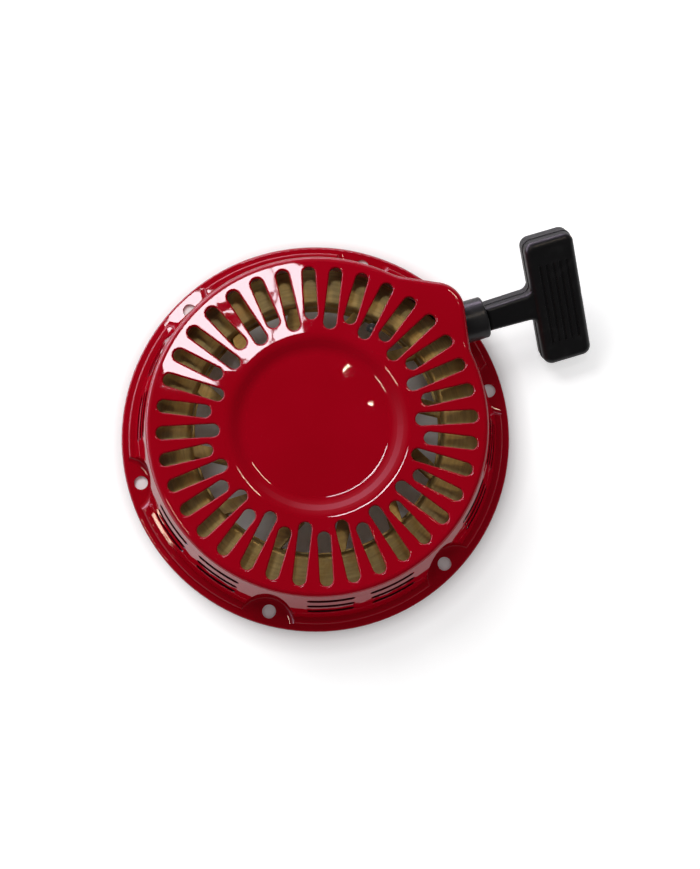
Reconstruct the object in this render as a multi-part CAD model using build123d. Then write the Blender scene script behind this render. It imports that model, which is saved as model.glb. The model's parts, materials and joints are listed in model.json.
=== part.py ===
from build123d import *
import os
from math import acos, atan2, cos, degrees, hypot, radians, sin, sqrt

# Recoil starter for a small petrol engine, in millimetres.
# The origin is the centre of the mounting face, z = 0 is the underside of the flange pads,
# and +Z points out through the dished cover, away from the engine.
# Seen from +Z the rope turns the reel clockwise.

# ---- cover ----
SHEET = 1.5
FLANGE_R = 104.0
BAND_OUTER_R = 100.8
BAND_TOP_R = 99.6
BAND_Z = 4.0
BAND_ROUND = 1.6
RIM_ROUND = 1.4
SKIRT_INNER_R = 60.0
TRIM = 8.0
FORM_BOTTOM_Z = -4.0
FAR = 200.0
WALL_FOOT_R = 96.8
WALL_TOP_R = 86.8
COVER_Z = 50.0
TOP_ROUND = 3.0
DISH_RIM_R = 45.5
DISH_FLOOR_R = 38.8
DISH_Z = 46.0
DISH_ROUND = 8.0

BOLT_COUNT = 6
BOLT_R = 96.5
BOLT_HOLE_R = 3.65
BOLT_FIRST_ANGLE = 15.2
BOLT_ANGLES = [BOLT_FIRST_ANGLE + i * 360 / BOLT_COUNT for i in range(BOLT_COUNT)]
PAD_INNER_R = 88.5
PAD_CUTTER_R = 16.5
PAD_ROUND = 4.0

SLOT_COUNT = 18
SLOT_WIDTH = 6.6
SLOT_OUTER_R = 81.8
LONG_SLOT_INNER_R = 49.8
SHORT_SLOT_INNER_R = 54.4
LONG_SLOT_ANGLE = 3.4
SHORT_SLOT_ANGLE = 13.4
SLOT_ROUND = 0.9

VENT_OFFSET_ANGLE = 19.5
VENT_LENGTH = 25.0
VENT_HEIGHT = 4.4
VENT_ROWS_Z = [19.0, 29.0, 39.0]

# ---- rope outlet ----
BULGE_SIDE_POINT = (43.0, 77.0)
BULGE_SIDE_ANGLE = -8.0
BULGE_END_POINT = (77.4, 43.8)
BULGE_END_ANGLE = -83.0
BULGE_CORNER_ROUND = 14.5
BULGE_DRAFT = 5.0
BULGE_SIDE_BLEND = 20.0
BULGE_END_BLEND = 10.0
BULGE_REACH = 46.0
BULGE_ROOT = (45.0, 45.0)
OUTLET_ANGLE = 17.0
OUTLET_Z = 27.5
OUTLET_X = 88.2
OUTLET_Y = 60.7
GUIDE_R = 11.0
GUIDE_LENGTH = 9.8
GUIDE_THROAT_R = 3.1
GUIDE_SPIGOT_R = 8.0
GUIDE_SPIGOT_LENGTH = 6.5
CLIP_R = 10.0

# ---- rope ----
ROPE_R = 2.1
ROPE_Z = OUTLET_Z
ROPE_PITCH = 4.25
ROPE_START_R = 70.3
ROPE_HALF_TURNS = 4
ROPE_RUN_R = 82.3
ROPE_BEND_R = 12.0
ROPE_BEND_BACK = 2.0
ROPE_JOINT_BACK = 8.6
HANDLE_KNOT_R = 4.4
REEL_KNOT_R = 3.4
KNOT_GAP = 0.3

# ---- reel ----
PLATE = 1.2
REEL_R = 84.0
REEL_UPPER_Z = 31.0
REEL_SPOKE_Z = 27.6
REEL_LOWER_Z = 22.0
REEL_FLOOR_R = 66.0
REEL_LIP_ROUND = 2.6
REEL_INNER_RING_R = 47.0
SPOKE_COUNT = 12
SPOKE_FIRST_ANGLE = 13.5
SPOKE_SLANT = 26.0
SPOKE_WIDTH = 7.0
SPOKE_TILT = 12.0
RIVET_COUNT = 6
RIVET_CIRCLE_R = 44.0
RIVET_R = 2.0
RIVET_HEAD_R = 3.0
RIVET_HEAD_HEIGHT = 1.2
PLATE_HOLE_GAP = 0.05
RIVET_SPACER_R = 3.0

# ---- spring ----
CUP_R = 41.0
CUP_TOP_Z = 39.6
CUP_GAP = 0.1
SPRING_STRIP = 0.8
SPRING_PITCH = 2.6
SPRING_START_R = 11.0
SPRING_HALF_TURNS = 20
SPRING_BOTTOM_Z = 28.4
SPRING_TOP_Z = 38.8

# ---- centre stack ----
POST_FLANGE_R = 16.0
POST_FLANGE_Z = 40.6
POST_R = 7.0
POST_SHOULDER_R = 9.0
POST_SHOULDER_Z = 28.2
POST_BOTTOM_Z = 15.6
SCREW_BORE_R = 3.0
RUNNING_GAP = 0.06
BUSH_R = 9.5
BUSH_SHOULDER_R = 12.0
BUSH_BOTTOM_Z = 17.6
THRUST_R = 12.5
THRUST_BOTTOM_Z = 16.0
FRICTION_PLATE_R = 21.0
FRICTION_PLATE_Z = 13.8
FRICTION_PLATE_THICK = 1.5
LUG_CIRCLE_R = 26.5
LUG_R = 1.5
LUG_TOP_Z = 20.8
LUG_ANGLE = -45.0
EAR_WIDTH = 7.0
FRICTION_WIRE_R = 0.7
FRICTION_COIL_R = 6.5
FRICTION_TURNS = 2
SCREW_WASHER_Z = 8.6
SCREW_WASHER_R = 9.0
SCREW_WASHER_THICK = 1.2
SCREW_HEAD_R = 6.2
SCREW_HEAD_Z = 4.6
SCREW_TOP_Z = 32.0

# ---- ratchets ----
RATCHET_PIVOT_R = 27.0
RATCHET_ANGLES = [100.0, 280.0]
RATCHET_BOTTOM_Z = 17.4
RATCHET_TOP_Z = 20.6
RATCHET_EYE_R = 5.2
RATCHET_HALF_WIDTH = 3.4
RATCHET_TIP_X = 23.8
RATCHET_TIP_Y = -28.3
PIN_R = 2.4
PIN_HEAD_R = 4.0
PIN_BOTTOM_Z = 14.0
RETURN_WIRE_R = 0.45
RETURN_COIL_R = 3.3
RETURN_LEG = 13.0

# ---- handle ----
HANDLE_ROLL = 36.0
STEM_LENGTH = 26.0
STEM_NECK_WIDTH = 13.2
STEM_GRIP_WIDTH = 14.8
STEM_THICK = 12.5
GRIP_LENGTH = 71.5
GRIP_DEPTH = 26.3
GRIP_THICK = 15.7
GRIP_ROUND = 3.6
GRIP_BLEND = 4.0
STEM_ROUND = 2.2
SEAM_PROUD = 0.3
SEAM_HEIGHT = 1.6
HANDLE_GAP = 0.3
POCKET_R = 6.0
POCKET_DEPTH = 16.0
CAP_THICK = 2.0
CAP_SKIRT = 2.0
CAP_WALL = 1.5
CAP_SINK = 0.6
INSERT_THICK = 1.2
RIB_COUNT = 5
RIB_GROOVE_WIDTH = 1.4
RIB_GROOVE_DEPTH = 0.6
RIB_GROOVE_LENGTH = 46.0
RIB_SPACING = 3.6


def polar(radius, angle):
    """Point in plan at a radius and an angle in degrees."""
    return (radius * cos(radians(angle)), radius * sin(radians(angle)))


def disc(radius, low, high, bore=0.0):
    """Round plate about the Z axis, with an optional bore."""
    plate = Pos(0, 0, (low + high) / 2) * Cylinder(radius, high - low)
    if bore > 0:
        plate -= Pos(0, 0, (low + high) / 2) * Cylinder(bore, high - low + 2)
    return plate


def outlet_plane():
    """Plane at the outer end of the rope guide, its normal along the pull."""
    pull = (cos(radians(OUTLET_ANGLE)), sin(radians(OUTLET_ANGLE)), 0)
    return Plane(origin=(OUTLET_X, OUTLET_Y, OUTLET_Z), x_dir=(0, 0, 1), z_dir=pull)


def along_outlet(solid, start):
    """Places a solid made about Z so that its z = 0 end sits at start along the pull."""
    return outlet_plane() * Pos(0, 0, start) * solid


def rod(radius, length, bore=0.0):
    """Round bar standing on z = 0, with an optional bore."""
    bar = Pos(0, 0, length / 2) * Cylinder(radius, length)
    if bore > 0:
        bar -= Pos(0, 0, length / 2) * Cylinder(bore, length + 2)
    return bar


# ---------------------------------------------------------------- cover


def wall_radius(height):
    """Outer radius of the conical wall at a height."""
    slope = (WALL_FOOT_R - WALL_TOP_R) / (COVER_Z - BAND_Z)
    return WALL_FOOT_R - slope * (height - BAND_Z)


def wall_thickness():
    """Horizontal thickness of the sheet where it stands as the conical wall."""
    slope = (WALL_FOOT_R - WALL_TOP_R) / (COVER_Z - BAND_Z)
    return SHEET * sqrt(1 + slope**2)


def bulge_outline(inset):
    """Plan of the rope bulge at the top plane: two straight sides and a round corner."""
    side = Vector(1, 0, 0).rotate(Axis.Z, BULGE_SIDE_ANGLE)
    end = Vector(1, 0, 0).rotate(Axis.Z, BULGE_END_ANGLE)
    side_point = Vector(*BULGE_SIDE_POINT) - Vector(-side.Y, side.X) * inset
    end_point = Vector(*BULGE_END_POINT) - Vector(-end.Y, end.X) * inset
    gap = end_point - side_point
    reach = (gap.X * end.Y - gap.Y * end.X) / (side.X * end.Y - side.Y * end.X)
    corner = side_point + side * reach
    ends = (corner - side * BULGE_REACH, corner + end * BULGE_REACH)
    outline = make_face(Polyline(ends[0], corner, ends[1], BULGE_ROOT, close=True))
    tip = max(outline.vertices(), key=lambda v: v.X + v.Y)
    return fillet(tip, BULGE_CORNER_ROUND - inset)


def drum_form(inset):
    """Conical drum and rope bulge as one solid, with its seams and top edge rounded."""
    top = COVER_Z - inset
    shift = wall_thickness() if inset else 0
    section = [
        (0, FORM_BOTTOM_Z),
        (wall_radius(FORM_BOTTOM_Z) - shift, FORM_BOTTOM_Z),
        (wall_radius(top) - shift, top),
        (0, top),
    ]
    form = revolve(Plane.XZ * make_face(Polyline(*section, close=True)), Axis.Z)
    bulge = Plane.XY.offset(top) * bulge_outline(inset)
    form = (form + extrude(bulge, amount=FORM_BOTTOM_Z - top, taper=-BULGE_DRAFT)).solid()

    def on_cone(edge):
        middle = edge.position_at(0.5)
        return abs(hypot(middle.X, middle.Y) - wall_radius(middle.Z) + shift) < 0.05

    tall = [e for e in form.edges() if e.bounding_box().size.Z > top]
    seams = [e for e in tall if on_cone(e) and e.geom_type != GeomType.LINE]
    seams.sort(key=lambda e: e.position_at(0.5).Y)
    form = fillet(seams[0], BULGE_END_BLEND + inset).solid()
    tall = [e for e in form.edges() if e.bounding_box().size.Z > top]
    seams = [e for e in tall if on_cone(e) and e.geom_type != GeomType.LINE]
    seams.sort(key=lambda e: e.position_at(0.5).Y)
    form = fillet(seams[-1], BULGE_SIDE_BLEND + inset).solid()
    flat = [f for f in form.faces() if abs(f.center().Z - top) < 0.01 and f.geom_type == GeomType.PLANE]
    return fillet(flat[0].outer_wire().edges(), TOP_ROUND - inset).solid()


def skirt_form(inset):
    """Flange and raised band as a stepped ring."""
    section = [
        (SKIRT_INNER_R, FORM_BOTTOM_Z),
        (FLANGE_R + TRIM, FORM_BOTTOM_Z),
        (FLANGE_R + TRIM, SHEET),
        (BAND_OUTER_R, SHEET),
        (BAND_TOP_R, BAND_Z),
        (SKIRT_INNER_R, BAND_Z),
    ]
    face = make_face(Polyline(*section, close=True))
    crest = min(face.vertices(), key=lambda v: abs(v.X - BAND_TOP_R) + abs(v.Y - BAND_Z))
    face = fillet(crest, BAND_ROUND)
    if inset:
        face = offset(face, amount=-inset, kind=Kind.INTERSECTION)
    return revolve(Plane.XZ * face, Axis.Z)


def dish_cutter(inset):
    """Everything above the sunken dish."""
    section = [
        (0, DISH_Z),
        (DISH_FLOOR_R, DISH_Z),
        (DISH_RIM_R, COVER_Z),
        (DISH_RIM_R + TRIM, COVER_Z),
        (DISH_RIM_R + TRIM, COVER_Z + TRIM),
        (-TRIM, COVER_Z + TRIM),
        (-TRIM, DISH_Z),
    ]
    face = make_face(Polyline(*section, close=True))
    for x, y in ((DISH_FLOOR_R, DISH_Z), (DISH_RIM_R, COVER_Z)):
        bend = min(face.vertices(), key=lambda v: abs(v.X - x) + abs(v.Y - y))
        face = fillet(bend, DISH_ROUND)
    if inset:
        face = offset(face, amount=inset, kind=Kind.INTERSECTION)
    face &= Pos(50, 0) * Rectangle(100, 200)
    return revolve(Plane.XZ * face, Axis.Z)


def pad_cutters(inset):
    """Round pockets over the bolt pads, with a rolled lower edge."""
    cutter = disc(PAD_CUTTER_R + inset, SHEET - inset, COVER_Z + 5)
    rim = cutter.edges().filter_by(GeomType.CIRCLE).sort_by(Axis.Z)[0]
    cutter = fillet(rim, PAD_ROUND + inset)
    centre_r = PAD_INNER_R + PAD_CUTTER_R
    return [Pos(*polar(centre_r, a), 0) * cutter for a in BOLT_ANGLES]


def drawn_form(inset):
    """Solid whose skin is the outer face of the cover, or the inner face with inset."""
    form = drum_form(inset) + skirt_form(inset)
    form -= dish_cutter(inset)
    form -= pad_cutters(inset)
    return form


def cut_slots(shell):
    """Radial air slots in the flat top, long and short in turn, with rolled edges."""
    rows = ((LONG_SLOT_INNER_R, LONG_SLOT_ANGLE), (SHORT_SLOT_INNER_R, SHORT_SLOT_ANGLE))
    cutters = []
    for inner_r, first_angle in rows:
        slot = extrude(SlotOverall(SLOT_OUTER_R - inner_r, SLOT_WIDTH), amount=2 * TRIM)
        slot = Pos((SLOT_OUTER_R + inner_r) / 2, 0, COVER_Z - TRIM) * slot
        for i in range(SLOT_COUNT):
            cutters.append(Rot(0, 0, first_angle + i * 360 / SLOT_COUNT) * slot)
    shell -= cutters
    flat = [f for f in shell.faces() if abs(f.center().Z - COVER_Z) < 0.01]
    face = max(flat, key=lambda f: f.area)
    rims = [w for w in face.inner_wires() if w.length < 3 * (SLOT_OUTER_R - LONG_SLOT_INNER_R)]
    return fillet([e for w in rims for e in w.edges()], SLOT_ROUND)


def vent_angles():
    """Plan angles of the wall vents: two groups beside each bolt, none in the bulge."""
    angles = []
    for bolt in BOLT_ANGLES:
        for angle in (bolt - VENT_OFFSET_ANGLE, bolt + VENT_OFFSET_ANGLE):
            if not 30 < angle % 360 < 60:
                angles.append(angle)
    return angles


def wall_vents():
    """Cutters for three rows of short slots through the conical wall."""
    slot = extrude(SlotOverall(VENT_LENGTH, VENT_HEIGHT), amount=30)
    cutters = []
    for height in VENT_ROWS_Z:
        for angle in vent_angles():
            wall = Plane(origin=(WALL_TOP_R - 14, 0, height), x_dir=(0, 1, 0), z_dir=(1, 0, 0))
            cutters.append(Rot(0, 0, angle) * (wall * slot))
    return cutters


def cover_shell(outer):
    """Pressed sheet steel cover, the outer form less the inner one, then pierced."""
    shell = outer - drawn_form(SHEET)
    shell = (shell & disc(FLANGE_R, 0, COVER_Z + 5)).solid()
    rim = [e for e in shell.edges() if e.geom_type == GeomType.CIRCLE and abs(e.radius - FLANGE_R) < 0.01]
    shell = fillet([e for e in rim if e.center().Z > SHEET / 2], RIM_ROUND)
    shell = cut_slots(shell)
    shell -= wall_vents()
    shell -= [Pos(*polar(BOLT_R, a), 0) * disc(BOLT_HOLE_R, -2, 6) for a in BOLT_ANGLES]
    shell -= along_outlet(rod(GUIDE_SPIGOT_R + RUNNING_GAP, 30), -30)
    return shell


def centre_post():
    """Post under the dish: a welded foot and the journal that carries the reel."""
    post = disc(POST_FLANGE_R, POST_FLANGE_Z, DISH_Z - SHEET)
    post += disc(POST_SHOULDER_R, POST_SHOULDER_Z, POST_FLANGE_Z)
    post += disc(POST_R, POST_BOTTOM_Z, POST_SHOULDER_Z)
    post -= disc(SCREW_BORE_R, POST_BOTTOM_Z - 1, SCREW_TOP_Z + 1)
    slit = Pos(0, 0, (SPRING_BOTTOM_Z + SPRING_TOP_Z) / 2) * Box(
        3 * POST_R, 2 * SPRING_STRIP, SPRING_TOP_Z - SPRING_BOTTOM_Z + 1
    )
    slit &= Pos(SCREW_BORE_R + 1 + POST_R, 0, 0) * Box(2 * POST_R, 4 * POST_R, 4 * COVER_Z)
    return post - slit


# ---------------------------------------------------------------- rope and its guide


def rope_guide(outer):
    """Collar outside the wall and a spigot through it, with a flared throat."""
    reach = GUIDE_LENGTH + GUIDE_SPIGOT_LENGTH
    collar = rod(GUIDE_R, reach)
    collar = fillet(collar.edges().filter_by(GeomType.CIRCLE).sort_by(Axis.Z)[-1], 1.2)
    collar = along_outlet(collar, -reach) - outer
    spigot = along_outlet(rod(GUIDE_SPIGOT_R, reach - 2), -reach)
    flare = Cone(GUIDE_THROAT_R + 2, GUIDE_THROAT_R, 3)
    guide = collar + spigot
    guide -= along_outlet(rod(GUIDE_THROAT_R, reach + 2), -reach - 1)
    guide -= along_outlet(flare, -reach + 1.5)
    guide -= along_outlet(Rot(180, 0, 0) * flare, -1.5)
    return guide


def rope_guide_clip():
    """Lock ring on the spigot behind the wall."""
    reach = GUIDE_LENGTH + GUIDE_SPIGOT_LENGTH - 1
    ring = rod(CLIP_R, reach, GUIDE_SPIGOT_R + RUNNING_GAP)
    return (along_outlet(ring, -reach) & drawn_form(SHEET)).solid()


def arc_spiral(start_r, pitch, half_turns):
    """Flat spiral of half circles about the origin, outwards and anticlockwise."""
    arcs = []
    for i in range(half_turns):
        side = 1 if i % 2 == 0 else -1
        radius = start_r + i * pitch / 2
        arc = CenterArc((-side * pitch / 4, 0), radius, 0 if side > 0 else 180, 180)
        arcs.append(arc)
    return arcs


def tangent_angle():
    """Plan angle where the straight rope leaves the reel for the guide."""
    bend = outlet_plane().origin - outlet_plane().z_dir * rope_bend_back()
    reach = hypot(bend.X, bend.Y)
    return degrees(atan2(bend.Y, bend.X) + acos(ROPE_RUN_R / reach))


def rope_bend_back():
    """Distance from the outer end of the guide back to the bend in the rope."""
    return GUIDE_LENGTH + GUIDE_SPIGOT_LENGTH + ROPE_BEND_BACK


def rope_wound():
    """Two flat turns of rope on the reel, ending under the straight run."""
    coil = None
    for arc in arc_spiral(ROPE_START_R, ROPE_PITCH, ROPE_HALF_TURNS):
        start = Plane(origin=arc @ 0, x_dir=(0, 0, 1), z_dir=arc % 0)
        turn = sweep(start * Circle(ROPE_R), path=arc)
        coil = turn if coil is None else coil + turn
    coil = mirror(coil, Plane.XZ)
    return Rot(0, 0, tangent_angle()) * Pos(0, 0, ROPE_Z) * coil


def rope_run():
    """Rope from the reel, bent into the guide, to just inside the collar."""
    pull = outlet_plane().z_dir
    bend = outlet_plane().origin - pull * rope_bend_back()
    start = Vector(*polar(ROPE_RUN_R, tangent_angle()), ROPE_Z)
    end = outlet_plane().origin - pull * ROPE_JOINT_BACK
    path = FilletPolyline(start, bend, end, radius=ROPE_BEND_R)
    first = Plane(origin=path @ 0, x_dir=(0, 0, 1), z_dir=path % 0)
    return sweep(first * Circle(ROPE_R), path=path)


def rope_lead():
    """Straight rope from the guide through the handle stem to its knot."""
    start = -ROPE_JOINT_BACK + 0.3
    return along_outlet(rod(ROPE_R, pocket_floor() + INSERT_THICK - start), start)


def rope_handle_knot():
    """Knot that bears on the insert in the grip, as a ball."""
    start = pocket_floor() + INSERT_THICK + HANDLE_KNOT_R + KNOT_GAP
    return along_outlet(Sphere(HANDLE_KNOT_R), start)


def rope_reel_knot():
    """Knot inside the channel floor, where the rope is anchored to the reel, as a ball."""
    radius = REEL_FLOOR_R - PLATE - REEL_KNOT_R - KNOT_GAP
    return Pos(*polar(radius, tangent_angle()), ROPE_Z) * Sphere(REEL_KNOT_R)


# ---------------------------------------------------------------- reel


def spokes(low, tilt):
    """Slanted spokes between the hub ring and the channel floor; inner ends lead anticlockwise."""
    inner_r = REEL_INNER_RING_R - PLATE / 2
    outer_r = REEL_FLOOR_R - PLATE / 2
    reach = (outer_r - inner_r) / cos(radians(SPOKE_SLANT))
    bar = Rot(0, 0, -SPOKE_SLANT) * Rot(tilt, 0, 0) * Box(reach, SPOKE_WIDTH, PLATE)
    lift = SPOKE_WIDTH / 2 * sin(radians(tilt))
    bar = Pos((inner_r + outer_r) / 2, 0, low + PLATE / 2 + lift) * bar
    return [Rot(0, 0, SPOKE_FIRST_ANGLE + i * 360 / SPOKE_COUNT) * bar for i in range(SPOKE_COUNT)]


def at_rivets(piece):
    """Copies of a piece at every place on the rivet circle."""
    return [Pos(*polar(RIVET_CIRCLE_R, i * 360 / RIVET_COUNT), 0) * piece for i in range(RIVET_COUNT)]


def rivet_holes(low, high):
    """Cutters for the spacer rivets through one plate."""
    return at_rivets(disc(RIVET_R + PLATE_HOLE_GAP, low - 1, high + 1))


def reel_upper_plate():
    """Pressed wheel: rope flange, drawn channel floor and twelve slanted, tilted vanes."""
    top = REEL_UPPER_Z + PLATE
    bottom = REEL_LOWER_Z + PLATE
    inner_r = REEL_FLOOR_R - PLATE
    section = [
        (inner_r, bottom),
        (inner_r, top),
        (REEL_R, top),
        (REEL_R, REEL_UPPER_Z),
        (REEL_FLOOR_R, REEL_UPPER_Z),
        (REEL_FLOOR_R, bottom),
    ]
    face = make_face(Polyline(*section, close=True))
    bends = ((inner_r, top, REEL_LIP_ROUND), (REEL_FLOOR_R, REEL_UPPER_Z, REEL_LIP_ROUND - PLATE))
    for x, y, radius in bends:
        bend = min(face.vertices(), key=lambda v: abs(v.X - x) + abs(v.Y - y))
        face = fillet(bend, radius)
    wheel = revolve(Plane.XZ * face, Axis.Z)
    wheel += disc(REEL_INNER_RING_R, REEL_SPOKE_Z, REEL_SPOKE_Z + PLATE, CUP_R + CUP_GAP)
    wheel += spokes(REEL_SPOKE_Z, SPOKE_TILT)
    wheel -= Rot(0, 0, tangent_angle()) * rope_entry()
    return wheel - rivet_holes(REEL_SPOKE_Z, REEL_SPOKE_Z + PLATE)


def rope_entry():
    """Cutter for the hole where the rope passes through the channel floor."""
    return Pos(REEL_FLOOR_R, 0, ROPE_Z) * Rot(0, 90, 0) * Cylinder(ROPE_R + KNOT_GAP, 8)


def reel_lower_plate():
    """Flat lower flange of the rope channel, with windows for cooling air."""
    top = REEL_LOWER_Z + PLATE
    plate = disc(REEL_R, REEL_LOWER_Z, top, BUSH_R)
    plate -= disc(REEL_FLOOR_R - 2 * PLATE, REEL_LOWER_Z - 1, top + 1, REEL_INNER_RING_R)
    plate += spokes(REEL_LOWER_Z, 0)
    plate -= rivet_holes(REEL_LOWER_Z, top)
    pin = disc(PIN_R + PLATE_HOLE_GAP, REEL_LOWER_Z - 1, top + 1)
    return plate - [Pos(*polar(RATCHET_PIVOT_R, a), 0) * pin for a in RATCHET_ANGLES]


def spring_cup():
    """Cup that holds the spring, riveted under the hub ring of the wheel."""
    floor_low = REEL_SPOKE_Z - PLATE
    cup = disc(REEL_INNER_RING_R, floor_low, REEL_SPOKE_Z, BUSH_R)
    cup += disc(CUP_R, REEL_SPOKE_Z, CUP_TOP_Z, CUP_R - PLATE)
    return cup - rivet_holes(floor_low, REEL_SPOKE_Z)


def reel_spacer_rivets():
    """Shouldered rivets that join the cup and upper plate to the lower plate."""
    bottom = REEL_LOWER_Z
    top = REEL_SPOKE_Z + PLATE
    rivet = disc(RIVET_R, bottom, top)
    rivet += disc(RIVET_SPACER_R, bottom + PLATE, REEL_SPOKE_Z - PLATE)
    for low, high in ((bottom - RIVET_HEAD_HEIGHT, bottom), (top, top + RIVET_HEAD_HEIGHT)):
        head = disc(RIVET_HEAD_R, low, high)
        outer = head.edges().filter_by(GeomType.CIRCLE).sort_by(Axis.Z)[0 if low < bottom else -1]
        rivet += fillet(outer, RIVET_HEAD_HEIGHT * 0.6)
    return Compound(at_rivets(rivet))


def reel_bush():
    """Plain bush between the post and the reel, with a shoulder under the spring cup."""
    bush = disc(BUSH_R, BUSH_BOTTOM_Z, REEL_SPOKE_Z, POST_R + RUNNING_GAP)
    shoulder = (REEL_LOWER_Z + PLATE, REEL_SPOKE_Z - PLATE)
    return bush + disc(BUSH_SHOULDER_R, *shoulder, POST_R + RUNNING_GAP)


# ---------------------------------------------------------------- spring


def recoil_spring():
    """Flat spiral strip; its inner tail is bent into the slit of the post."""
    strip = None
    for i, arc in enumerate(arc_spiral(SPRING_START_R, SPRING_PITCH, SPRING_HALF_TURNS)):
        side = 1 if i % 2 == 0 else -1
        outer_r = arc.radius + SPRING_STRIP / 2
        band = disc(outer_r, SPRING_BOTTOM_Z, SPRING_TOP_Z, outer_r - SPRING_STRIP)
        half = Pos(0, side * FAR / 2, 0) * Box(FAR, FAR, FAR)
        turn = Pos(-side * SPRING_PITCH / 4, 0, 0) * band & half
        strip = turn if strip is None else strip + turn
    start = SPRING_START_R - SPRING_PITCH / 4 + SPRING_STRIP / 2
    tail_end = SCREW_BORE_R + 1.6
    height = SPRING_TOP_Z - SPRING_BOTTOM_Z
    tail = Pos((start + tail_end) / 2, 0, (SPRING_TOP_Z + SPRING_BOTTOM_Z) / 2)
    return strip + tail * Box(start - tail_end, SPRING_STRIP, height)


# ---------------------------------------------------------------- ratchets


def ratchet():
    """Pawl with its pivot eye at plan angle zero, folded in, tip pointing clockwise."""
    pivot = Vector(RATCHET_PIVOT_R, 0)
    tip = Vector(RATCHET_TIP_X, RATCHET_TIP_Y)
    arm = (tip - pivot).normalized()
    side = Vector(-arm.Y, arm.X)
    width = RATCHET_HALF_WIDTH
    outline = Polyline(
        pivot - side * RATCHET_EYE_R * 0.95,
        pivot + side * RATCHET_EYE_R * 0.95,
        tip + side * (width + 1.6),
        tip + arm * 2 + side * (width - 1),
        tip - side * width,
        close=True,
    )
    body = make_face(outline) + Pos(pivot.X, pivot.Y) * Circle(RATCHET_EYE_R)
    body -= Pos(pivot.X, pivot.Y) * Circle(PIN_R + RUNNING_GAP)
    return extrude(Plane.XY.offset(RATCHET_BOTTOM_Z) * body, amount=RATCHET_TOP_Z - RATCHET_BOTTOM_Z)


def ratchet_pin():
    """Headed pivot pin riveted into the lower reel plate, at plan angle zero."""
    pin = disc(PIN_R, PIN_BOTTOM_Z, REEL_LOWER_Z + PLATE)
    pin += disc(PIN_HEAD_R, PIN_BOTTOM_Z, PIN_BOTTOM_Z + 1)
    pin += disc(PIN_R + 0.8, REEL_LOWER_Z + PLATE, REEL_LOWER_Z + PLATE + 1)
    return Pos(RATCHET_PIVOT_R, 0, 0) * pin


def return_spring():
    """Small torsion spring on a pivot pin, at plan angle zero, with one long leg."""
    low = PIN_BOTTOM_Z + 1 + RETURN_WIRE_R + 0.1
    coil = Helix(pitch=2 * RETURN_WIRE_R + 0.1, height=2 * RETURN_WIRE_R + 0.2, radius=RETURN_COIL_R)
    leg = Line((RETURN_COIL_R, -RETURN_LEG, 0), (RETURN_COIL_R, 0, 0))
    wire = Wire([leg.edge(), coil.edge()])
    start = Plane(origin=wire @ 0, x_dir=(0, 0, 1), z_dir=wire % 0)
    return Pos(RATCHET_PIVOT_R, 0, low) * sweep(start * Circle(RETURN_WIRE_R), path=wire)


def friction_plate():
    """Ratchet guide: a disc with two bent-up lugs that push the pawls outwards."""
    low = FRICTION_PLATE_Z
    high = low + FRICTION_PLATE_THICK
    plate = disc(FRICTION_PLATE_R, low, high, SCREW_BORE_R)
    for angle in RATCHET_ANGLES:
        ear = Pos(LUG_CIRCLE_R - 5, 0, (low + high) / 2) * Box(10 + 2 * LUG_R, EAR_WIDTH, high - low)
        lug = Pos(LUG_CIRCLE_R, 0, 0) * disc(LUG_R, low, LUG_TOP_Z)
        plate += Rot(0, 0, angle + LUG_ANGLE) * (ear + lug)
    return plate


def friction_spring():
    """Coil spring between the screw washer and the friction plate."""
    low = SCREW_WASHER_Z + SCREW_WASHER_THICK
    room = FRICTION_PLATE_Z - low
    height = room - 2 * FRICTION_WIRE_R - 2 * PLATE_HOLE_GAP
    path = Helix(pitch=height / FRICTION_TURNS, height=height, radius=FRICTION_COIL_R)
    start = Plane(origin=path @ 0, x_dir=(0, 0, 1), z_dir=path % 0)
    coil = sweep(start * Circle(FRICTION_WIRE_R), path=path)
    return Pos(0, 0, low + FRICTION_WIRE_R + PLATE_HOLE_GAP) * coil


def screw_washer():
    """Washer under the screw head that carries the friction spring."""
    return disc(SCREW_WASHER_R, SCREW_WASHER_Z, SCREW_WASHER_Z + SCREW_WASHER_THICK, SCREW_BORE_R)


def centre_screw():
    """Hexagon flange screw up the middle of the post."""
    head = Plane.XY.offset(SCREW_HEAD_Z) * RegularPolygon(SCREW_HEAD_R, 6)
    screw = extrude(head, amount=SCREW_WASHER_Z - SCREW_HEAD_Z)
    return screw + disc(SCREW_BORE_R - PLATE_HOLE_GAP, SCREW_WASHER_Z, SCREW_TOP_Z)


# ---------------------------------------------------------------- handle


def pocket_floor():
    """Distance along the pull to the floor of the knot pocket."""
    return STEM_LENGTH + GRIP_DEPTH - POCKET_DEPTH


def handle_plane():
    """Handle frame: X along the pull, Y along the bar, Z out of its face, rolled."""
    pull, roll = radians(OUTLET_ANGLE), radians(HANDLE_ROLL)
    face = (sin(pull) * sin(roll), -cos(pull) * sin(roll), cos(roll))
    return Plane(origin=outlet_plane().origin, x_dir=outlet_plane().z_dir, z_dir=face)


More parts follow.
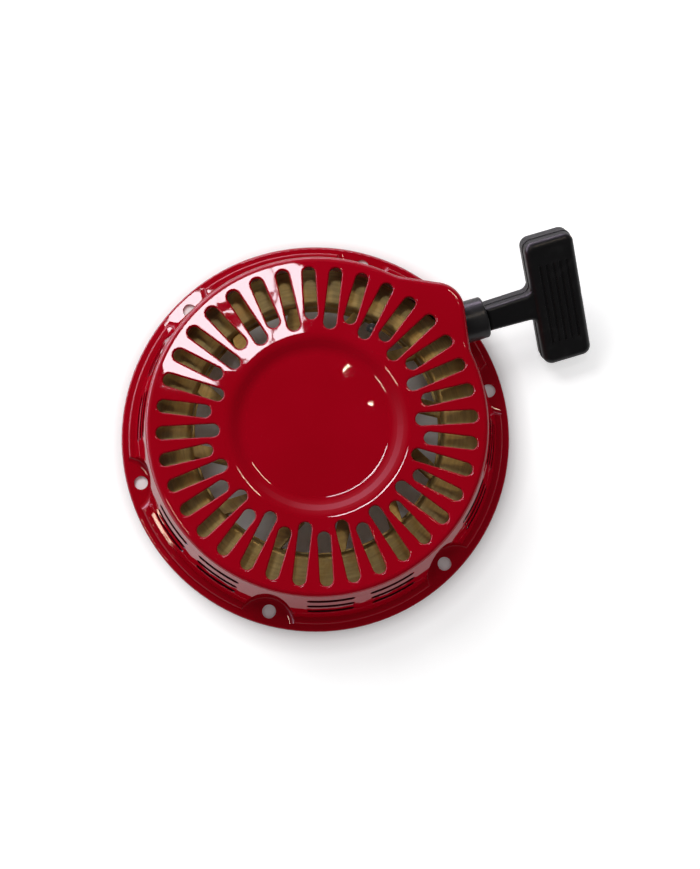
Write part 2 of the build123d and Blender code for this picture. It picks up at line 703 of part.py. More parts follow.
def handle_grip():
    """Moulded T handle with a tapered stem, a blended bar and a grooved face."""
    stem = make_face(
        Polyline(
            (HANDLE_GAP, -STEM_NECK_WIDTH / 2),
            (STEM_LENGTH + 2, -STEM_GRIP_WIDTH / 2),
            (STEM_LENGTH + 2, STEM_GRIP_WIDTH / 2),
            (HANDLE_GAP, STEM_NECK_WIDTH / 2),
            close=True,
        )
    )
    bar = Pos(STEM_LENGTH + GRIP_DEPTH / 2, 0) * RectangleRounded(GRIP_DEPTH, GRIP_LENGTH, 5)
    tee = stem + bar
    inner = [v for v in tee.vertices() if abs(v.X - STEM_LENGTH) < 0.01 and abs(v.Y) < STEM_GRIP_WIDTH]
    tee = fillet(inner, GRIP_BLEND)
    body = extrude(Plane.XY.offset(-STEM_THICK / 2) * tee, amount=STEM_THICK)
    body = fillet(outline_edges(body), STEM_ROUND)
    block = extrude(Plane.XY.offset(-GRIP_THICK / 2) * bar, amount=GRIP_THICK)
    block = fillet(outline_edges(block), GRIP_ROUND)
    seam = extrude(Plane.XY.offset(-SEAM_HEIGHT / 2) * offset(tee, amount=SEAM_PROUD), amount=SEAM_HEIGHT)
    seam -= Pos(-10 + HANDLE_GAP, 0, 0) * Box(20, 40, 10)
    body += block + seam
    groove = Box(RIB_GROOVE_WIDTH, RIB_GROOVE_LENGTH, 2 * RIB_GROOVE_DEPTH)
    groove = fillet(groove.edges().filter_by(Axis.Z), RIB_GROOVE_WIDTH / 2 - 0.05)
    for i in range(RIB_COUNT):
        x = STEM_LENGTH + GRIP_DEPTH / 2 + (i - (RIB_COUNT - 1) / 2) * RIB_SPACING
        body -= Pos(x, 0, GRIP_THICK / 2) * groove
    body = handle_plane() * body
    body -= along_outlet(rod(ROPE_R + 0.4, pocket_floor() + 2), -1)
    body -= along_outlet(rod(POCKET_R, POCKET_DEPTH + 5), pocket_floor())
    return body


def outline_edges(block):
    """Edges round the top and bottom faces of a flat block."""
    return [e for e in block.edges() if e.bounding_box().size.Z < 0.001]


def handle_insert():
    """Steel washer on the floor of the knot pocket."""
    return along_outlet(rod(POCKET_R - 0.1, INSERT_THICK, ROPE_R + 0.3), pocket_floor())


def handle_cap():
    """Plug that closes the pocket, flush with the bar."""
    radius = POCKET_R - PLATE_HOLE_GAP
    skirt = rod(radius, CAP_SKIRT + CAP_THICK, radius - CAP_WALL)
    plug = skirt + Pos(0, 0, CAP_SKIRT) * rod(radius, CAP_THICK)
    return along_outlet(plug, STEM_LENGTH + GRIP_DEPTH - CAP_THICK - CAP_SKIRT - CAP_SINK)


# ---------------------------------------------------------------- output


def build_parts():
    """Every piece of the starter, by name."""
    outer = drawn_form(0)
    parts = {
        "cover_shell": cover_shell(outer),
        "centre_post": centre_post(),
        "rope_guide": rope_guide(outer),
        "rope_guide_clip": rope_guide_clip(),
        "recoil_spring": recoil_spring(),
        "spring_cup": spring_cup(),
        "reel_upper_plate": reel_upper_plate(),
        "reel_lower_plate": reel_lower_plate(),
        "reel_spacer_rivets": reel_spacer_rivets(),
        "reel_bush": reel_bush(),
        "ratchet_a": Rot(0, 0, RATCHET_ANGLES[0]) * ratchet(),
        "ratchet_b": Rot(0, 0, RATCHET_ANGLES[1]) * ratchet(),
        "ratchet_pins": Compound([Rot(0, 0, a) * ratchet_pin() for a in RATCHET_ANGLES]),
        "ratchet_return_springs": Compound([Rot(0, 0, a) * return_spring() for a in RATCHET_ANGLES]),
        "thrust_washer": disc(THRUST_R, THRUST_BOTTOM_Z, BUSH_BOTTOM_Z, POST_R + RUNNING_GAP),
        "friction_plate": friction_plate(),
        "friction_spring": friction_spring(),
        "screw_washer": screw_washer(),
        "centre_screw": centre_screw(),
        "rope_wound": rope_wound(),
        "rope_run": rope_run(),
        "rope_lead": rope_lead(),
        "rope_reel_knot": rope_reel_knot(),
        "rope_handle_knot": rope_handle_knot(),
        "handle_grip": handle_grip(),
        "handle_insert": handle_insert(),
        "handle_cap": handle_cap(),
    }
    return parts


os.makedirs("parts", exist_ok=True)
for name, part in build_parts().items():
    export_step(part, f"parts/{name}.step")
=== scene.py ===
import json
import math

import bmesh
import bpy
from mathutils import Matrix, Vector


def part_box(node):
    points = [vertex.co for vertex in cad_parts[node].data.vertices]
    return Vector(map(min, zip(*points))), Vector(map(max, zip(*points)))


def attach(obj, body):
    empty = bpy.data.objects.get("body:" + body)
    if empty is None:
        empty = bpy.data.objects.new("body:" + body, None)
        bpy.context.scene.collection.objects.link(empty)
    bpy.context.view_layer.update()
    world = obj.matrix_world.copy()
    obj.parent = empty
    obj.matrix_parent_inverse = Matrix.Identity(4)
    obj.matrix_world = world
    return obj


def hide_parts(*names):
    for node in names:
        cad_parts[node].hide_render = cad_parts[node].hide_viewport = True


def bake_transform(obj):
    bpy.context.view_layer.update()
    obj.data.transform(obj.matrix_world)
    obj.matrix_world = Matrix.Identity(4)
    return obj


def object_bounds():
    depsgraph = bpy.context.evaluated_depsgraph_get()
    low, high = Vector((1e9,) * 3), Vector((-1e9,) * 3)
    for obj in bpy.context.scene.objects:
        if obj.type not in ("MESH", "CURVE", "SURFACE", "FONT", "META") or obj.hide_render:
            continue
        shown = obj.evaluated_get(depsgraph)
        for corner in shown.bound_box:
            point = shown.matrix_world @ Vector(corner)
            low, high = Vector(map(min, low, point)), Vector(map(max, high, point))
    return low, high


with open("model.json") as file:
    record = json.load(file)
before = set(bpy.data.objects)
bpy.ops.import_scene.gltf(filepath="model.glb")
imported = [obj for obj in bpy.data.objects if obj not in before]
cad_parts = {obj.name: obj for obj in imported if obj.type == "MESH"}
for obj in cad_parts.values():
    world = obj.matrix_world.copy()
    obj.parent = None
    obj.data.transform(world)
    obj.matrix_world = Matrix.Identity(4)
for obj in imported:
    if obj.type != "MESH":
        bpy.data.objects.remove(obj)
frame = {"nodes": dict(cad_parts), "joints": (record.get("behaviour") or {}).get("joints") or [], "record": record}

CAD_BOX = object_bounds()
NODES = frame["nodes"]
SCENE = bpy.context.scene


# ---------------------------------------------------------------- material tools


class Graph:
    """Short names for the shader nodes that the materials below share."""

    def __init__(self, name):
        self.material = bpy.data.materials.new(name)
        self.material.use_nodes = True
        self.tree = self.material.node_tree
        self.shader = self.tree.nodes["Principled BSDF"]
        self.place = self.node("ShaderNodeTexCoord").outputs["Object"]

    @classmethod
    def for_world(cls, name):
        """Graph of a world in place of a material."""
        made = cls.__new__(cls)
        made.material = bpy.data.worlds.new(name)
        made.material.use_nodes = True
        made.tree = made.material.node_tree
        made.shader = made.tree.nodes["Background"]
        return made

    def node(self, kind, **settings):
        made = self.tree.nodes.new(kind)
        for key, value in settings.items():
            setattr(made, key, value)
        return made

    def put(self, socket, value):
        """Links a socket to another, or sets its value."""
        if isinstance(value, bpy.types.NodeSocket):
            self.tree.links.new(value, socket)
        else:
            socket.default_value = value

    def set(self, **values):
        """Sets inputs of the main shader, with _ for each space in their names."""
        for key, value in values.items():
            self.put(self.shader.inputs[key.replace("_", " ")], value)

    def axes(self, vector):
        """X, Y and Z of a vector socket."""
        made = self.node("ShaderNodeSeparateXYZ")
        self.put(made.inputs[0], vector)
        return made.outputs[0], made.outputs[1], made.outputs[2]

    def noise(self, scale, detail=4.0, roughness=0.55, place=None, distortion=0.0):
        made = self.node("ShaderNodeTexNoise")
        self.put(made.inputs["Vector"], place or self.place)
        self.put(made.inputs["Scale"], scale)
        self.put(made.inputs["Detail"], detail)
        self.put(made.inputs["Roughness"], roughness)
        self.put(made.inputs["Distortion"], distortion)
        return made.outputs["Fac"]

    def cells(self, scale):
        """Distance to the nearest of many scattered points."""
        made = self.node("ShaderNodeTexVoronoi")
        self.put(made.inputs["Vector"], self.place)
        self.put(made.inputs["Scale"], scale)
        return made.outputs["Distance"]

    def math(self, operation, a, b=0.0):
        made = self.node("ShaderNodeMath", operation=operation)
        self.put(made.inputs[0], a)
        self.put(made.inputs[1], b)
        return made.outputs[0]

    def times(self, a, b):
        return self.math("MULTIPLY", a, b)

    def plus(self, a, b):
        return self.math("ADD", a, b)

    def ramp(self, factor, stops):
        """Colour ramp; each stop is a position and an rgb colour or a grey."""
        made = self.node("ShaderNodeValToRGB")
        elements = made.color_ramp.elements
        while len(elements) < len(stops):
            elements.new(0.5)
        for element, (position, colour) in zip(elements, stops):
            element.position = position
            grey = isinstance(colour, (int, float))
            element.color = (colour, colour, colour, 1) if grey else (*colour, 1)
        self.put(made.inputs["Fac"], factor)
        return made.outputs["Color"]

    def mix(self, factor, a, b, blend="MIX"):
        made = self.node("ShaderNodeMix", data_type="RGBA", blend_type=blend)
        self.put(made.inputs["Factor"], factor)
        for socket, value in ((made.inputs[6], a), (made.inputs[7], b)):
            if isinstance(value, tuple) and len(value) == 3:
                value = (*value, 1)
            self.put(socket, value)
        return made.outputs[2]

    def bump(self, height, depth, normal=None):
        """Bump normal; depth is the real height of the relief in metres."""
        made = self.node("ShaderNodeBump")
        self.put(made.inputs["Height"], height)
        self.put(made.inputs["Distance"], depth)
        if normal is not None:
            self.put(made.inputs["Normal"], normal)
        return made.outputs["Normal"]

    def rounded(self, radius):
        """Normal that softens every sharp edge within a radius in metres."""
        made = self.node("ShaderNodeBevel", samples=4)
        self.put(made.inputs["Radius"], radius)
        return made.outputs["Normal"]


# ---------------------------------------------------------------- materials

# Where the cut faces of the wall vents and the rolled edges of the top slots lie, in metres
VENT_Z = (0.014, 0.043)
VENT_MIN_R = 0.083
SLOT_EDGE_DEPTH = 0.0012
SLOT_RING = (0.0485, 0.0832)

RED_BODY = [(0.3, (0.32, 0.0, 0.006)), (0.7, (0.37, 0.0, 0.009))]
# Painted shade: near-black colour on the vent cut faces, standing for the shade inside the vents
VENT_SHADE = (0.02, 0.0, 0.001)
# Painted highlight: pale colour, and its strength, on the rolled slot edges, standing for the light they catch
EDGE_HIGHLIGHT = (1.0, 0.62, 0.72)
EDGE_HIGHLIGHT_STRENGTH = 0.9
DUST_PALE = (0.5, 0.34, 0.32)
ENAMEL_RELIEF = 0.00002

GOLD_BLOOM = [
    (0.3, (0.38, 0.2, 0.05)),
    (0.45, (0.5, 0.35, 0.11)),
    (0.6, (0.6, 0.45, 0.18)),
    (0.75, (0.46, 0.24, 0.06)),
]
GOLD_STREAK = (0.26, 0.17, 0.06)
GOLD_GRAIN = (0.34, 0.25, 0.1)
RINGS_PER_METRE = 700.0
MARKS_PER_RADIAN = 5.0
LEVELS_PER_METRE = 400.0

RUST = (0.16, 0.07, 0.03)
ROPE_DARK = (0.03, 0.03, 0.032)
ROPE_LIGHT = (0.09, 0.09, 0.095)
ROPE_FLECK = (0.45, 0.43, 0.38)
ROPE_GRIME = (0.05, 0.045, 0.04)


def plan_and_slope(g):
    """Distance from the Z axis squared, height, and the upward part of the true normal."""
    x, y, z = g.axes(g.place)
    upward = g.axes(g.node("ShaderNodeNewGeometry").outputs["True Normal"])[2]
    return g.plus(g.math("POWER", x, 2.0), g.math("POWER", y, 2.0)), z, upward


def between(g, value, low, high):
    """1 where a value lies between two limits, else 0."""
    return g.times(g.math("GREATER_THAN", value, low), g.math("LESS_THAN", value, high))


def vent_edges(g):
    """Mask of the cut faces inside the wall vents, which get a painted shade."""
    plan, height, upward = plan_and_slope(g)
    level = g.math("GREATER_THAN", g.math("ABSOLUTE", upward), 0.6)
    outside = g.math("GREATER_THAN", plan, VENT_MIN_R**2)
    return g.times(g.times(level, outside), between(g, height, *VENT_Z))


def slot_edge_highlight(g):
    """Mask of the rolled edges round the slots in the top, which get a painted highlight."""
    plan, height, upward = plan_and_slope(g)
    past_wall = g.ramp(upward, [(0.3, 0.0), (0.5, 1.0)])
    before_top = g.ramp(upward, [(0.86, 1.0), (0.96, 0.0)])
    near_top = g.math("GREATER_THAN", height, CAD_BOX[1].z - SLOT_EDGE_DEPTH)
    ring = between(g, plan, SLOT_RING[0] ** 2, SLOT_RING[1] ** 2)
    return g.times(g.times(g.times(past_wall, before_top), near_top), ring)


def red_paint():
    """Deep gloss red enamel with slight orange peel and dust, a painted shade in the vents and a painted highlight
    on the slot edges.
    """
    g = Graph("red_enamel")
    body = g.ramp(g.noise(14.0, 3.0), RED_BODY)
    # Painted shade on the vent cut faces
    body = g.mix(vent_edges(g), body, VENT_SHADE)
    # Painted highlight on the rolled slot edges
    body = g.mix(g.times(slot_edge_highlight(g), EDGE_HIGHLIGHT_STRENGTH), body, EDGE_HIGHLIGHT)
    specks = g.ramp(g.cells(420.0), [(0.02, 1.0), (0.06, 0.0)])
    dust = g.times(specks, g.ramp(g.noise(30.0, 2.0), [(0.55, 0.0), (0.7, 0.6)]))
    g.set(Base_Color=g.mix(dust, body, DUST_PALE))
    peel = g.noise(420.0, 2.0)
    wave = g.noise(60.0, 2.0)
    normal = g.bump(g.plus(g.times(wave, 1.6), g.times(peel, 0.06)), ENAMEL_RELIEF)
    g.set(Normal=normal, Coat_Normal=normal)
    g.set(Roughness=0.4, Specular_IOR_Level=0.0, Coat_Weight=1.0, Coat_IOR=1.52)
    g.set(Coat_Roughness=g.plus(g.times(dust, 0.4), 0.015))
    return g.material


def ring_marks(g):
    """Coordinates that change fast with the distance from the Z axis and slowly round it."""
    x, y, z = g.axes(g.place)
    reach = g.math("SQRT", plan_and_slope(g)[0])
    made = g.node("ShaderNodeCombineXYZ")
    g.put(made.inputs["X"], g.times(reach, RINGS_PER_METRE))
    g.put(made.inputs["Y"], g.times(g.math("ARCTAN2", y, x), MARKS_PER_RADIAN))
    g.put(made.inputs["Z"], g.times(z, LEVELS_PER_METRE))
    return made.outputs[0]


def gold_zinc():
    """Yellow passivated zinc on steel: olive to ochre bloom, darker marks in rings and a fine grain."""
    g = Graph("gold_zinc")
    bloom = g.noise(55.0, 5.0, 0.6, distortion=0.6)
    fine = g.noise(900.0, 3.0)
    streaks = g.ramp(g.noise(1.0, 3.0, place=ring_marks(g)), [(0.4, 0.0), (0.62, 1.0)])
    tone = g.mix(g.times(streaks, 0.45), g.ramp(bloom, GOLD_BLOOM), GOLD_STREAK)
    g.set(Base_Color=g.mix(g.times(fine, 0.25), tone, GOLD_GRAIN))
    g.set(Metallic=0.75, Roughness=g.plus(g.times(bloom, 0.25), 0.28))
    g.set(Normal=g.bump(fine, 0.00003, g.rounded(0.0004)))
    return g.material


def black_plastic(name, tone, scuffed, roughness):
    """Moulded black nylon with a fine spark-eroded grain and faint scuffs."""
    g = Graph(name)
    grain = g.noise(1500.0, 2.0)
    scuff = g.ramp(g.noise(70.0, 6.0, 0.7, distortion=1.5), [(0.55, 0.0), (0.75, 1.0)])
    g.set(Base_Color=g.mix(g.times(scuff, 0.5), (tone, tone, tone), (scuffed, scuffed, scuffed)))
    g.set(Roughness=g.plus(g.times(scuff, 0.12), roughness), Specular_IOR_Level=0.42)
    g.set(Normal=g.bump(grain, 0.00002, g.rounded(0.0005)))
    return g.material


def steel(name, light, dark, roughness, spots=0.0):
    """Plated or hardened steel with fine marks, a cloudy tone and rust spots of a given strength."""
    g = Graph(name)
    marks = g.noise(1100.0, 3.0)
    tone = g.mix(g.noise(90.0, 4.0), dark, light)
    if spots:
        tone = g.mix(g.ramp(g.noise(160.0, 6.0, 0.7), [(0.6, 0.0), (0.72, spots)]), tone, RUST)
    g.set(Base_Color=tone, Metallic=0.9, Roughness=g.plus(g.times(marks, 0.2), roughness))
    g.set(Normal=g.bump(marks, 0.00002, g.rounded(0.0003)))
    return g.material


def rope_cord():
    """Charcoal braided cord with a pale fleck and fuzz; the plait itself is mesh."""
    g = Graph("rope_cord")
    fibre = g.noise(2500.0, 3.0)
    flecks = g.ramp(g.cells(330.0), [(0.12, 1.0), (0.2, 0.0)])
    grime = g.ramp(g.noise(45.0, 4.0), [(0.5, 0.0), (0.8, 0.5)])
    marked = g.mix(flecks, g.mix(fibre, ROPE_DARK, ROPE_LIGHT), ROPE_FLECK)
    g.set(Base_Color=g.mix(grime, marked, ROPE_GRIME))
    g.set(Roughness=0.8, Sheen_Weight=0.3, Normal=g.bump(fibre, 0.00008))
    return g.material


MATERIALS = {
    "red_paint": red_paint(),
    "gold_zinc": gold_zinc(),
    "black_plastic": black_plastic("black_plastic", 0.0075, 0.025, 0.33),
    "plain_steel": steel("zinc_steel", (0.62, 0.62, 0.63), (0.42, 0.42, 0.43), 0.25),
    "hard_steel": steel("hard_steel", (0.36, 0.35, 0.34), (0.2, 0.2, 0.2), 0.3, 0.5),
    "spring_steel": steel("spring_steel", (0.3, 0.32, 0.36), (0.16, 0.17, 0.2), 0.22),
    "bronze": steel("bronze", (0.62, 0.42, 0.2), (0.45, 0.28, 0.12), 0.35),
    "rope": rope_cord(),
}
OWN_LOOK = {"rope_guide": black_plastic("guide_plastic", 0.018, 0.045, 0.28)}


def dress_frame():
    """Gives every carried-over part the material of its record slot, or its own variant of it."""
    for row in frame["record"]["subparts"]:
        part = NODES[row["node"]]
        part.data.materials.clear()
        part.data.materials.append(OWN_LOOK.get(row["node"], MATERIALS[row["material_slot"]]))


# ---------------------------------------------------------------- rope

ROPE_BEND_BACK = 0.002
ROPE_BEND_R = 0.012
ROPE_GAP = 0.0004
COIL_TURNS = 2
COIL_SLIM = 0.98
BRAID_STRANDS = 4
BRAID_PITCH = 0.0036
BRAID_DEPTH = 0.09
CORD_SIDES = 28
CORD_STEP = 0.0005
KNOT_STEPS = 160
KNOT_STRAND = 0.42


def round_z(radius, angle, z):
    """Point at a distance and a plan angle from the Z axis."""
    return Vector((radius * math.cos(angle), radius * math.sin(angle), z))


def bent_path(start, corner, end, radius, step):
    """Even points along two straight legs joined by a round bend."""
    into, out = (corner - start).normalized(), (end - corner).normalized()
    half = into.angle(out) / 2
    cut = radius * math.tan(half)
    enter, leave = corner - into * cut, corner + out * cut
    inward = (out - out.project(into)).normalized()
    centre = enter + inward * radius
    first = int((enter - start).length / step)
    points = [start.lerp(enter, i / first) for i in range(first)]
    turns = max(4, int(2 * half * radius / step))
    spin = into.cross(out).normalized()
    for i in range(turns):
        turn = Matrix.Rotation(2 * half * i / turns, 3, spin)
        points.append(centre + turn @ (enter - centre))
    last = int((end - leave).length / step)
    points += [leave.lerp(end, i / last) for i in range(last + 1)]
    return points


def braid(around, along):
    """Height of an eight-strand plait, 0 to 1; around in turns, along in plait pitches."""
    left = abs(math.sin(math.pi * (BRAID_STRANDS * around + along)))
    right = abs(math.sin(math.pi * (BRAID_STRANDS * around - along)))
    return max(left, right)


def cord_rings(form, points, radius):
    """Rings of plaited vertices square to a list of points."""
    up = Vector((0, 0, 1))
    rings, travel = [], 0.0
    for i, point in enumerate(points):
        ahead = points[min(i + 1, len(points) - 1)] - points[max(i - 1, 0)]
        ahead.normalize()
        if i:
            travel += (point - points[i - 1]).length
        across = (up - up.project(ahead)).normalized()
        other = ahead.cross(across)
        ring = []
        for j in range(CORD_SIDES):
            turn = j / CORD_SIDES
            reach = radius * (1 - BRAID_DEPTH * (1 - braid(turn, travel / BRAID_PITCH)))
            angle = 2 * math.pi * turn
            outward = across * math.cos(angle) + other * math.sin(angle)
            ring.append(form.verts.new(point + outward * reach))
        rings.append(ring)
        up = across
    return rings


def cord(name, points, radius, closed=False):
    """Plaited rope as a tube mesh along a list of points, capped or closed into a loop."""
    form = bmesh.new()
    rings = cord_rings(form, points, radius)
    pairs = list(zip(rings, rings[1:]))
    if closed:
        pairs.append((rings[-1], rings[0]))
    for a, b in pairs:
        for j in range(CORD_SIDES):
            k = (j + 1) % CORD_SIDES
            form.faces.new((a[j], a[k], b[k], b[j]))
    if not closed:
        form.faces.new(list(reversed(rings[0])))
        form.faces.new(rings[-1])
    mesh = bpy.data.meshes.new(name)
    bmesh.ops.recalc_face_normals(form, faces=form.faces)
    form.to_mesh(mesh)
    form.free()
    for face in mesh.polygons:
        face.use_smooth = len(face.vertices) == 4
    mesh.materials.append(MATERIALS["rope"])
    made = bpy.data.objects.new(name, mesh)
    SCENE.collection.objects.link(made)
    return made


def axis_span(node, axis):
    """Ends of a round CAD part whose axis lies flat, and its radius, from its box."""
    low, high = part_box(node)
    radius = (high.z - low.z) / 2
    size = high - low
    length = (size.x - 2 * radius * abs(axis.y)) / abs(axis.x)
    middle = (low + high) / 2
    return middle - axis * length / 2, middle + axis * length / 2, radius


def reach_of(node):
    """Smallest and largest distance of a CAD part from the Z axis."""
    radii = [math.hypot(v.co.x, v.co.y) for v in NODES[node].data.vertices]
    return min(radii), max(radii)


def tangent_angle(point, radius):
    """Plan angle where a line from a point touches a circle about the origin, left of the point."""
    return math.atan2(point.y, point.x) + math.acos(radius / math.hypot(point.x, point.y))


def pulled_rope(pull):
    """Rope from the reel through the guide to the handle; gives the angle where it leaves the reel."""
    lead_start, lead_end, radius = axis_span("rope_lead", pull)
    corner = axis_span("rope_guide", pull)[0] - pull * ROPE_BEND_BACK
    corner.z = lead_start.z
    run_r = reach_of("rope_wound")[1] + radius + ROPE_GAP
    leave = tangent_angle(corner, run_r)
    start = round_z(run_r, leave, corner.z)
    rope = cord("rope_pull", bent_path(start, corner, lead_end, ROPE_BEND_R, CORD_STEP), radius)
    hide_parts("rope_lead", "rope_run")
    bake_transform(rope)
    return leave


def wound_rope(pull, leave):
    """Flat coil of rope on the reel, from the angle where it leaves the reel inwards."""
    lead_start, _, radius = axis_span("rope_lead", pull)
    inner, outer = reach_of("rope_wound")
    first, last = inner + radius, outer - radius
    count = int(COIL_TURNS * 2 * math.pi * (first + last) / 2 / CORD_STEP)
    coil = []
    for i in range(count + 1):
        share = i / count
        angle = leave + COIL_TURNS * 2 * math.pi * (1 - share)
        coil.append(round_z(first + (last - first) * share, angle, lead_start.z))
    rope = cord("rope_coil", coil, radius * COIL_SLIM)
    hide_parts("rope_wound")
    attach(rope, "reel")


def knot(name, node, axis, body):
    """Overhand knot drawn tight into the ball that stands for it in the frame."""
    low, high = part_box(node)
    ball = (high.z - low.z) / 2
    strand = ball * KNOT_STRAND
    loop = ball - strand
    turn = axis.to_track_quat("Z", "Y").to_matrix()
    points = []
    for i in range(KNOT_STEPS):
        t = 2 * math.pi * i / KNOT_STEPS
        x = math.sin(t) + 2 * math.sin(2 * t)
        y = math.cos(t) - 2 * math.cos(2 * t)
        trefoil = Vector((x, y, -1.6 * math.sin(3 * t)))
        points.append((low + high) / 2 + turn @ (trefoil * loop / 3))
    tied = cord(name, points, strand, closed=True)
    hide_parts(node)
    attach(tied, body)


def ropes():
    """All the rope: the pulled stretch, the coil and the two knots."""
    pull = Vector(next(j["axis"] for j in frame["joints"] if j["name"] == "handle_pull")).normalized()
    leave = pulled_rope(pull)
    wound_rope(pull, leave)
    knot("rope_knot_handle", "rope_handle_knot", pull, "handle")
    knot("rope_knot_reel", "rope_reel_knot", round_z(1.0, leave, 0.0), "reel")


# ---------------------------------------------------------------- stage

FLOOR_HALF_SIDE = 20.0
FLOOR_Z = -0.0002
# Glow of the table to the camera, against the distance from the part in units of 2 m
FLOOR_GLOW = [(0.051, 0.0), (0.0565, 0.5), (0.25, 0.5), (1.0, 1.0)]

# Radiance against the rise of a direction: 0 is straight down, 0.5 the horizon, 1 straight up
SOFT_LIGHT = [(0.45, 0.9), (0.5, 0.32), (0.8, 0.42), (1.0, 0.36)]
VEIL_BELT = [
    (0.48, 0.02),
    (0.5, 2.4),
    (0.53, 2.4),
    (0.56, 0.3),
    (0.7, 0.22),
    (0.78, 0.04),
    (0.925, 0.015),
    (0.985, 0.0),
]
BRIGHT_SIDE = (-0.71, 0.71)
VEIL_FACING = [(0.0, 0.0), (0.45, 0.15), (1.0, 1.0)]
VEIL_RADIANCE = 9.0
VEIL_TINT = (0.92, 0.76, 1.0)
GLOOM_RADIANCE = 0.03
WHITE = (1, 1, 1)

WINDOW_HEIGHT = 3.05
WINDOW_RADIANCE = 20.0
WINDOW_TINT = (0.92, 0.93, 1.0)
# Left, right, low and high edge of each pane, as seen in plan
WINDOW_PANES = (
    (-0.318, -0.19, 0.49, 0.74),
    (-0.19, -0.14, 0.53, 0.64),
    (-0.19, -0.14, 0.70, 0.755),
    (-0.19, -0.14, 0.662, 0.67),
    (-0.14, -0.06, 0.56, 0.77),
    (-0.055, 0.012, 0.60, 0.79),
)

KEY_PLACE = (-0.42, 0.62, 0.75)
KEY_SIZE = (0.5, 0.5)
KEY_RADIANCE = 9.0

WARM = (1.0, 0.8, 0.6)
BULB_PLACES = ((0.151, 0.383, 2.55), (0.101, 0.448, 2.55))
BULB_SIZE = (0.003, 0.003)
BULB_RADIANCE = 300.0
TUBE_AZIMUTHS = (math.radians(53), math.radians(200))
TUBE_PLACE = Vector((1.0, 0, 2.2))
TUBE_SIZE = (0.1, 0.3)
TUBE_RADIANCE = 45.0

CAMERA_LENS = 67.5
CAMERA_PLACE = Vector((-0.0132, -0.1097, 0.868))
CAMERA_TARGET = Vector((0.0182, 0.0013, 0.0))
CAMERA_RANGE = (0.05, 50.0)


def white_table():
    """Pale table that glows a little to the camera away from the part, clear from below and to shadows."""
    g = Graph("white_table")
    g.set(Base_Color=g.mix(g.noise(3.0), (0.86, 0.86, 0.86), (0.9, 0.9, 0.9)), Roughness=0.6)
    span = g.node("ShaderNodeVectorMath", operation="LENGTH")
    g.put(span.inputs[0], g.place)
    path = g.node("ShaderNodeLightPath").outputs
    glow = g.times(g.ramp(g.times(span.outputs["Value"], 0.5), FLOOR_GLOW), path["Is Camera Ray"])
    g.set(Emission_Color=(*WHITE, 1), Emission_Strength=glow)
    sides = g.node("ShaderNodeMixShader")
    below = g.node("ShaderNodeNewGeometry").outputs["Backfacing"]
    g.put(sides.inputs[0], g.math("MAXIMUM", below, path["Is Shadow Ray"]))
    g.put(sides.inputs[1], g.shader.outputs[0])
    g.put(sides.inputs[2], g.node("ShaderNodeBsdfTransparent").outputs[0])
    g.put(g.tree.nodes["Material Output"].inputs["Surface"], sides.outputs[0])
    return g.material


def table():
    """Floor under the part."""
    mesh = bpy.data.meshes.new("floor")
    form = bmesh.new()
    bmesh.ops.create_grid(form, x_segments=2, y_segments=2, size=FLOOR_HALF_SIDE)
    form.to_mesh(mesh)
    form.free()
    mesh.materials.append(white_table())
    floor = bpy.data.objects.new("floor", mesh)
    SCENE.collection.objects.link(floor)
    floor.location.z = FLOOR_Z


def room():
    """Even light for matt surfaces, white for the camera, and for the gloss a dim room with a bright side."""
    g = Graph.for_world("room")
    x, y, height = g.axes(g.node("ShaderNodeTexCoord").outputs["Generated"])
    side = g.plus(g.times(x, BRIGHT_SIDE[0]), g.times(y, BRIGHT_SIDE[1]))
    flat = g.math("SUBTRACT", 1.0, g.times(height, height))
    level = g.math("SQRT", g.math("MAXIMUM", 0.0001, flat))
    facing = g.ramp(g.math("DIVIDE", side, level), VEIL_FACING)
    rise = g.plus(g.times(height, 0.5), 0.5)
    veil = g.times(g.times(facing, g.ramp(rise, VEIL_BELT)), VEIL_RADIANCE)
    path = g.node("ShaderNodeLightPath").outputs
    glossy = path["Is Glossy Ray"]
    light = g.mix(glossy, g.ramp(rise, SOFT_LIGHT), g.plus(veil, GLOOM_RADIANCE))
    tinted = g.mix(1.0, light, g.mix(glossy, WHITE, VEIL_TINT), "MULTIPLY")
    g.put(g.shader.inputs["Color"], g.mix(path["Is Camera Ray"], tinted, WHITE))
    SCENE.world = g.material


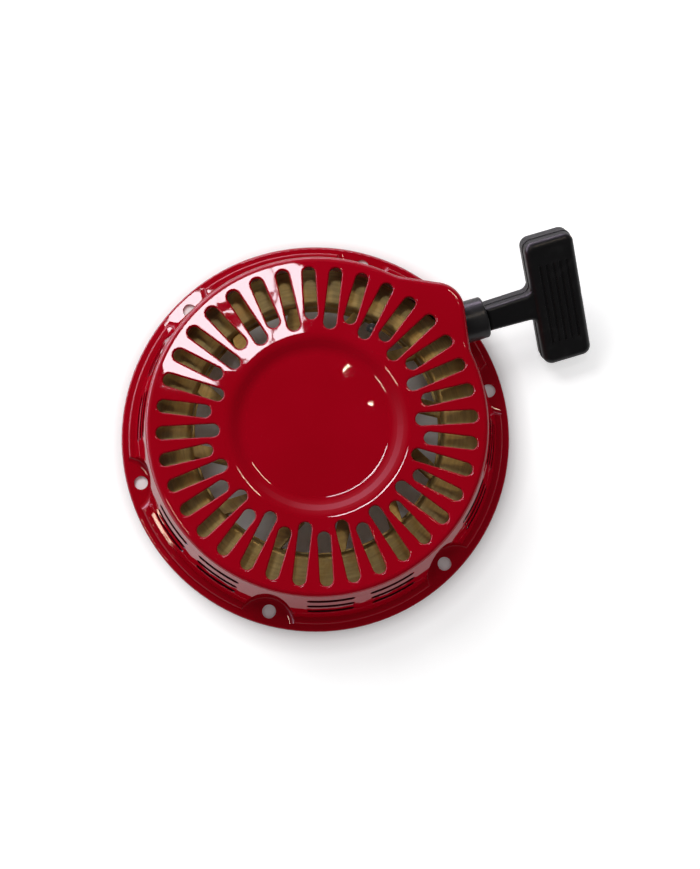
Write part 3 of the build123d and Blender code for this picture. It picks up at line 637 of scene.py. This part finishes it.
def area_light(name, place, size, radiance, turn=(0, 0, 0), tint=WHITE):
    """Rectangular lamp of a given radiance."""
    lamp = bpy.data.lights.new(name, "AREA")
    lamp.shape = "RECTANGLE"
    lamp.size, lamp.size_y = size
    lamp.energy = radiance * math.pi * size[0] * size[1]
    lamp.color = tint
    holder = bpy.data.objects.new(name, lamp)
    SCENE.collection.objects.link(holder)
    holder.location = place
    holder.rotation_euler = turn
    return holder


def window():
    """Skylight panes that the flat top of the cover mirrors."""
    for i, (left, right, low, high) in enumerate(WINDOW_PANES):
        middle = Vector(((left + right) / 2, (low + high) / 2, WINDOW_HEIGHT))
        area_light(f"pane_{i}", middle, (right - left, high - low), WINDOW_RADIANCE, tint=WINDOW_TINT)


def room_lights():
    """Soft lamp hidden from the mirroring paint, far bulbs that sparkle, and tubes seen only in the gloss."""
    aim = -Vector(KEY_PLACE)
    lamp = area_light("key", KEY_PLACE, KEY_SIZE, KEY_RADIANCE, aim.to_track_quat("-Z", "Y").to_euler())
    lamp.visible_glossy = False
    for i, place in enumerate(BULB_PLACES):
        area_light(f"bulb_{i}", place, BULB_SIZE, BULB_RADIANCE, tint=WARM)
    for i, azimuth in enumerate(TUBE_AZIMUTHS):
        place = Matrix.Rotation(azimuth, 3, "Z") @ TUBE_PLACE
        tube = area_light(f"tube_{i}", place, TUBE_SIZE, TUBE_RADIANCE, (0, 0, azimuth), WARM)
        tube.visible_diffuse = False


def camera():
    """Looks almost straight down, a little from the front and the left, with +Y up the picture."""
    data = bpy.data.cameras.new("camera")
    data.lens = CAMERA_LENS
    data.clip_start, data.clip_end = CAMERA_RANGE
    holder = bpy.data.objects.new("camera", data)
    SCENE.collection.objects.link(holder)
    back = (CAMERA_PLACE - CAMERA_TARGET).normalized()
    right = Vector((0, 1, 0)).cross(back).normalized()
    turn = Matrix((right, back.cross(right), back)).transposed()
    holder.matrix_world = Matrix.Translation(CAMERA_PLACE) @ turn.to_4x4()
    SCENE.camera = holder


dress_frame()
ropes()
table()
room()
window()
room_lights()
camera()

SCENE.view_settings.view_transform = "Standard"
